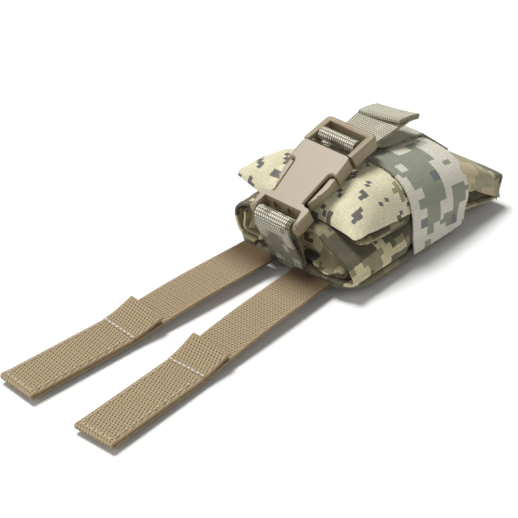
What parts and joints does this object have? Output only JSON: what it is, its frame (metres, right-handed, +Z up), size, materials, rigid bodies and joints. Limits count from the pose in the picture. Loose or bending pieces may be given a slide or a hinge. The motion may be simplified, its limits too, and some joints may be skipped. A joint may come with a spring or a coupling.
{
  "type": "rolled first-aid pouch",
  "caption": "Camouflage cloth pouch rolled on its back panel, held by an elastic band and a side-release buckle strap, with webbing straps for weaving onto a vest.",
  "frame": {"origin": "middle of the outer face of the front webbing row on the back panel, on which the pouch lies", "axes": "+Z up from the back face, +Y along the pouch towards its rear fold, the straps lie towards -Y, +X to the right seen from the straps"},
  "size_m": [0.0948, 0.3108, 0.066],
  "materials": {
    "cloth": "printed woven cloth, matt",
    "binding": "woven tape, matt",
    "elastic": "printed woven elastic, matt",
    "coyote_webbing": "ribbed webbing, matt",
    "printed_webbing": "printed webbing, matt",
    "moulded": "moulded, fine matt",
    "stiffener": "cut sheet"
  },
  "bodies": {
    "pouch": {"back_panel": "cloth", "edge_binding": "binding", "webbing_row_front": "coyote_webbing", "webbing_row_rear": "coyote_webbing", "roll_cover": "cloth", "roll_turn": "cloth", "roll_core": "cloth", "top_flap": "cloth", "rear_fold": "cloth", "elastic_band": "elastic", "front_webbing": "printed_webbing", "buckle_socket": "moulded", "anchor_webbing": "printed_webbing"},
    "plug": {"buckle_plug": "moulded", "webbing_loop": "printed_webbing"},
    "prong_left": {"prong_left": "moulded"},
    "prong_right": {"prong_right": "moulded"},
    "tail": {"webbing_tail": "printed_webbing"},
    "strap_left": {"strap_left": "coyote_webbing", "stiffener_left": "stiffener"},
    "lock_tab_left": {"lock_tab_left": "coyote_webbing"},
    "strap_right": {"strap_right": "coyote_webbing", "stiffener_right": "stiffener"},
    "lock_tab_right": {"lock_tab_right": "coyote_webbing"}
  },
  "joints": [
    {"name": "buckle_release", "type": "slide", "parent": "pouch", "child": "plug", "axis": [0, 0.88, 0.4749], "range_m": [0, 0.036], "deforming": ["anchor_webbing", "prong_left", "prong_right"]},
    {"name": "prong_left_squeeze", "type": "hinge", "parent": "plug", "child": "prong_left", "pos_m": [-0.0145, -0.00584, 0.05404], "axis": [0, -0.4749, 0.88], "range_deg": [0, 10], "stiffness_Nm_per_rad": 0.3},
    {"name": "prong_right_squeeze", "type": "hinge", "parent": "plug", "child": "prong_right", "pos_m": [0.0065, -0.00584, 0.05404], "axis": [0, 0.4749, -0.88], "range_deg": [0, 10], "stiffness_Nm_per_rad": 0.3},
    {"name": "tail_lift", "type": "hinge", "parent": "plug", "child": "tail", "pos_m": [-0.004, 0.02409, 0.05698], "axis": [0.9976, 0.0698, 0], "range_deg": [0, 70]},
    {"name": "strap_left_swing", "type": "hinge", "parent": "pouch", "child": "strap_left", "pos_m": [-0.019, -0.04108, 0.0054], "axis": [-0.9985, 0.0541, 0], "range_deg": [0, 60]},
    {"name": "lock_tab_left_lift", "type": "hinge", "parent": "strap_left", "child": "lock_tab_left", "pos_m": [-0.02451, -0.14283, 0.003], "axis": [0.9985, -0.0541, 0], "range_deg": [0, 60]},
    {"name": "strap_right_swing", "type": "hinge", "parent": "pouch", "child": "strap_right", "pos_m": [0.019, -0.04108, 0.0054], "axis": [-0.9985, -0.0541, 0], "range_deg": [0, 60]},
    {"name": "lock_tab_right_lift", "type": "hinge", "parent": "strap_right", "child": "lock_tab_right", "pos_m": [0.02451, -0.14283, 0.003], "axis": [0.9985, 0.0541, 0], "range_deg": [0, 60]}
  ]
}
